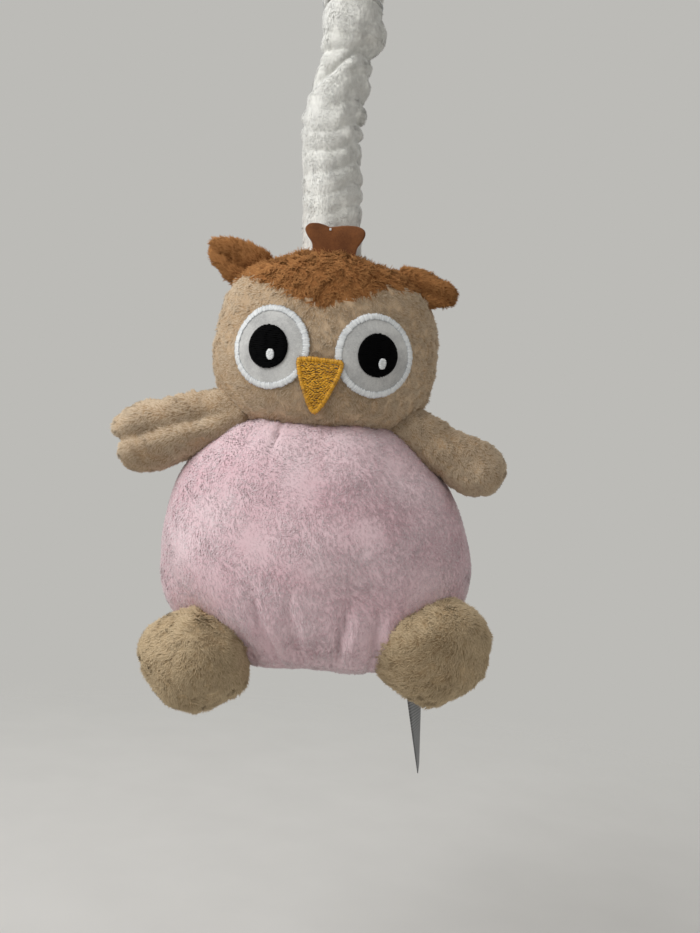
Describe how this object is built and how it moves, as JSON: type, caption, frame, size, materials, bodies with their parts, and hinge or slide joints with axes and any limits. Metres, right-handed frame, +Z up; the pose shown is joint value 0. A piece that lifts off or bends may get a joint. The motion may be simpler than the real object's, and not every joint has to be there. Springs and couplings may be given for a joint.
{
  "type": "musical crib mobile",
  "caption": "Plush owl on a gathered cord sleeve with a rail loop: pulled down, it draws the cord and a movement inside plays while it climbs back.",
  "frame": {"origin": "centre of the rail loop that the toy hangs from", "axes": "+Z up along the hanging cord, the owl faces -Y, +X to the right of a viewer in front"},
  "size_m": [0.1635, 0.1002, 0.3657],
  "materials": {
    "tan_plush": "short minky pile, tan",
    "brown_plush": "long minky pile, brown",
    "pink_plush": "short velboa pile, pale pink",
    "ivory_plush": "gathered velboa pile, ivory",
    "brown_felt": "pressed felt, brown",
    "grey_felt": "brushed tricot, pale grey",
    "white_thread": "satin-stitched embroidery thread",
    "black_thread": "fill-stitched embroidery thread",
    "gold_thread": "embroidery thread, gold",
    "polyester_fill": "hollow-fibre stuffing",
    "label_tape": "woven satin tape, bare",
    "strap_webbing": "doubled velboa strap, ivory",
    "loop_tape": "loop side of touch tape",
    "hook_tape": "hook side of touch tape",
    "cord_braid": "braided polyester cord",
    "case_plastic": "moulded polypropylene",
    "reel_plastic": "moulded acetal",
    "toggle_plastic": "moulded polypropylene",
    "brass": "turned brass",
    "steel": "ground steel",
    "spring_steel": "blued spring steel",
    "plate_steel": "stamped zinc-plated steel"
  },
  "bodies": {
    "hanger": {"rail_strap": "strap_webbing", "loop_patch": "loop_tape", "sleeve_collar": "ivory_plush", "cord_anchor": "toggle_plastic", "pull_cord": "cord_braid", "sleeve": "ivory_plush"},
    "strap_flap": {"strap_flap": "strap_webbing", "hook_patch": "hook_tape"},
    "owl": {"head_cover": "tan_plush", "head_stuffing": "polyester_fill", "crown_panel": "brown_plush", "crest_felt": "brown_felt", "eye_disc_left": "grey_felt", "eye_disc_right": "grey_felt", "eye_rim_left": "white_thread", "eye_rim_right": "white_thread", "pupil_left": "black_thread", "pupil_right": "black_thread", "catchlight_left": "white_thread", "catchlight_right": "white_thread", "beak": "gold_thread", "beak_border": "gold_thread", "body_cover": "pink_plush", "body_stuffing": "polyester_fill", "base_panel": "pink_plush", "cord_tunnel": "case_plastic", "cord_eyelet": "brass", "case_front": "case_plastic", "case_back": "case_plastic", "case_screws": "steel", "front_plate": "plate_steel", "back_plate": "plate_steel", "plate_pillars": "brass", "reel_arbor": "steel", "comb": "steel", "comb_block": "brass", "comb_screws": "steel"},
    "cord_reel": {"reel": "reel_plastic", "mainspring": "spring_steel", "cord_winding": "cord_braid"},
    "tune_drum": {"pinned_drum": "brass", "drum_wheel": "brass", "drum_pinion": "brass", "drum_arbor": "steel"},
    "idler": {"idler_pinion": "steel", "idler_wheel": "brass"},
    "governor": {"governor_pinion": "steel", "governor_fan": "reel_plastic"},
    "wing_left": {"wing_left_cover": "tan_plush", "wing_left_stuffing": "polyester_fill"},
    "wing_right": {"wing_right_cover": "tan_plush", "wing_right_stuffing": "polyester_fill"},
    "foot_left": {"foot_left_cover": "tan_plush", "foot_left_stuffing": "polyester_fill"},
    "foot_right": {"foot_right_cover": "tan_plush", "foot_right_stuffing": "polyester_fill"},
    "ear_left": {"ear_left": "brown_plush"},
    "ear_right": {"ear_right": "brown_plush"},
    "care_label": {"care_label": "label_tape"}
  },
  "joints": [
    {"name": "strap_open", "type": "hinge", "parent": "hanger", "child": "strap_flap", "pos_m": [0, 0.0102, 0.02139], "axis": [-1, 0, 0], "range_deg": [0, 110]},
    {"name": "pull_down", "type": "slide", "parent": "hanger", "child": "owl", "axis": [0, 0, -1], "range_m": [0, 0.045], "stiffness_N_per_m": 12, "springref_m": -0.35, "deforming": ["sleeve", "pull_cord"]},
    {"name": "reel_spin", "type": "hinge", "parent": "owl", "child": "cord_reel", "pos_m": [0.01205, 0, -0.238], "axis": [0, 1, 0], "range_deg": [0, 216]},
    {"name": "drum_spin", "type": "hinge", "parent": "owl", "child": "tune_drum", "pos_m": [-0.00401, 0, -0.25584], "axis": [0, 1, 0], "range_deg": [-323, 0]},
    {"name": "idler_spin", "type": "hinge", "parent": "owl", "child": "idler", "pos_m": [0.00725, 0, -0.26234], "axis": [0, 1, 0], "range_deg": [0, 1072]},
    {"name": "governor_spin", "type": "hinge", "parent": "owl", "child": "governor", "pos_m": [0.01513, 0, -0.26095], "axis": [0, 1, 0], "range_deg": [-1786, 0]},
    {"name": "wing_left_flap", "type": "hinge", "parent": "owl", "child": "wing_left", "pos_m": [-0.0285, -0.008, -0.198], "axis": [0, 1, 0], "range_deg": [-15, 25], "stiffness_Nm_per_rad": 0.006, "springref_deg": 9.74},
    {"name": "wing_right_flap", "type": "hinge", "parent": "owl", "child": "wing_right", "pos_m": [0.0315, -0.008, -0.198], "axis": [0, -1, 0], "range_deg": [-15, 25], "stiffness_Nm_per_rad": 0.006, "springref_deg": 9.74},
    {"name": "foot_left_swing", "type": "hinge", "parent": "owl", "child": "foot_left", "pos_m": [-0.038, -0.01506, -0.27749], "axis": [-1, 0, 0], "range_deg": [-10, 25], "stiffness_Nm_per_rad": 0.008, "springref_deg": 8.59},
    {"name": "foot_right_swing", "type": "hinge", "parent": "owl", "child": "foot_right", "pos_m": [0.0535, -0.01294, -0.26892], "axis": [-1, 0, 0], "range_deg": [-10, 25], "stiffness_Nm_per_rad": 0.008, "springref_deg": 8.59},
    {"name": "ear_left_bend", "type": "hinge", "parent": "owl", "child": "ear_left", "pos_m": [-0.031, 0, -0.1405], "axis": [0, 1, 0], "range_deg": [-15, 15], "stiffness_Nm_per_rad": 0.002, "springref_deg": 1.15},
    {"name": "ear_right_bend", "type": "hinge", "parent": "owl", "child": "ear_right", "pos_m": [0.034, 0, -0.1405], "axis": [0, -1, 0], "range_deg": [-15, 15], "stiffness_Nm_per_rad": 0.002, "springref_deg": 1.15},
    {"name": "label_flip", "type": "hinge", "parent": "owl", "child": "care_label", "pos_m": [0.05558, 0.011, -0.296], "axis": [0, -1, 0], "range_deg": [-10, 90]}
  ],
  "couplings": [
    {"joint": "reel_spin", "follows": "pull_down", "rad_per_m": 82.988},
    {"joint": "drum_spin", "follows": "pull_down", "rad_per_m": -124.48},
    {"joint": "idler_spin", "follows": "pull_down", "rad_per_m": 414.94},
    {"joint": "governor_spin", "follows": "pull_down", "rad_per_m": -691.56}
  ]
}
